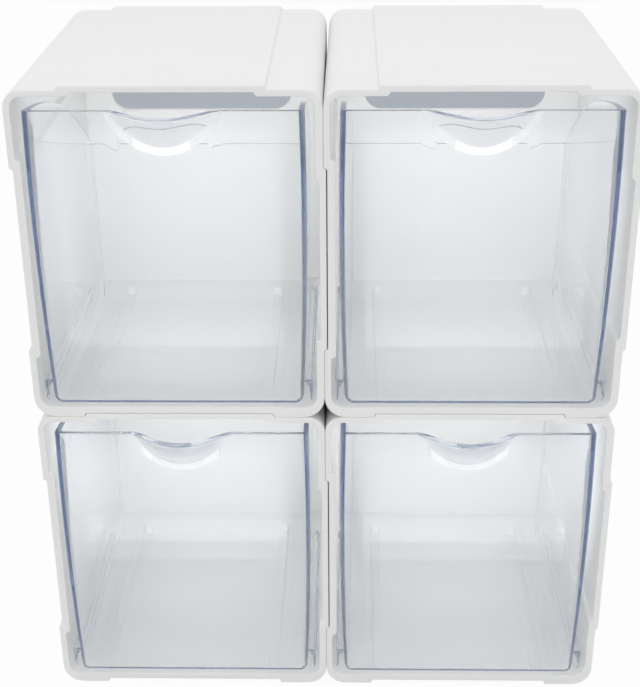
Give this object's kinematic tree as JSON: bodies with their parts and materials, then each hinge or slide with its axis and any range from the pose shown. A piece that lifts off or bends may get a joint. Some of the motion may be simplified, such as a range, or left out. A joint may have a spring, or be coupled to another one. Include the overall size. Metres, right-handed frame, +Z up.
{
  "type": "stackable drawer box",
  "caption": "Block of open-fronted casings keyed together on their four sides, each with a clear slide-in drawer that has a flared finger pull.",
  "frame": {"origin": "centre of the stack's footprint, keys and pulls included, on the surface it stands on", "axes": "+X to the right seen from the front, +Y from the drawer fronts to the back, +Z up"},
  "size_m": [0.3052, 0.1891, 0.352],
  "materials": {
    "casing_plastic": "satin white, moulded",
    "drawer_plastic": "clear polystyrene with a faint blue-grey cast, polished"
  },
  "bodies": {
    "casings": {"casing_upper_left": "casing_plastic", "casing_upper_right": "casing_plastic", "casing_lower_left": "casing_plastic", "casing_lower_right": "casing_plastic"},
    "bin_upper_left": {"drawer_upper_left": "drawer_plastic"},
    "bin_upper_right": {"drawer_upper_right": "drawer_plastic"},
    "bin_lower_left": {"drawer_lower_left": "drawer_plastic"},
    "bin_lower_right": {"drawer_lower_right": "drawer_plastic"}
  },
  "joints": [
    {"name": "slide_upper_left", "type": "slide", "parent": "casings", "child": "bin_upper_left", "axis": [0, -1, 0], "range_m": [0, 0.11]},
    {"name": "slide_upper_right", "type": "slide", "parent": "casings", "child": "bin_upper_right", "axis": [0, -1, 0], "range_m": [0, 0.11]},
    {"name": "slide_lower_left", "type": "slide", "parent": "casings", "child": "bin_lower_left", "axis": [0, -1, 0], "range_m": [0, 0.11]},
    {"name": "slide_lower_right", "type": "slide", "parent": "casings", "child": "bin_lower_right", "axis": [0, -1, 0], "range_m": [0, 0.11]}
  ]
}
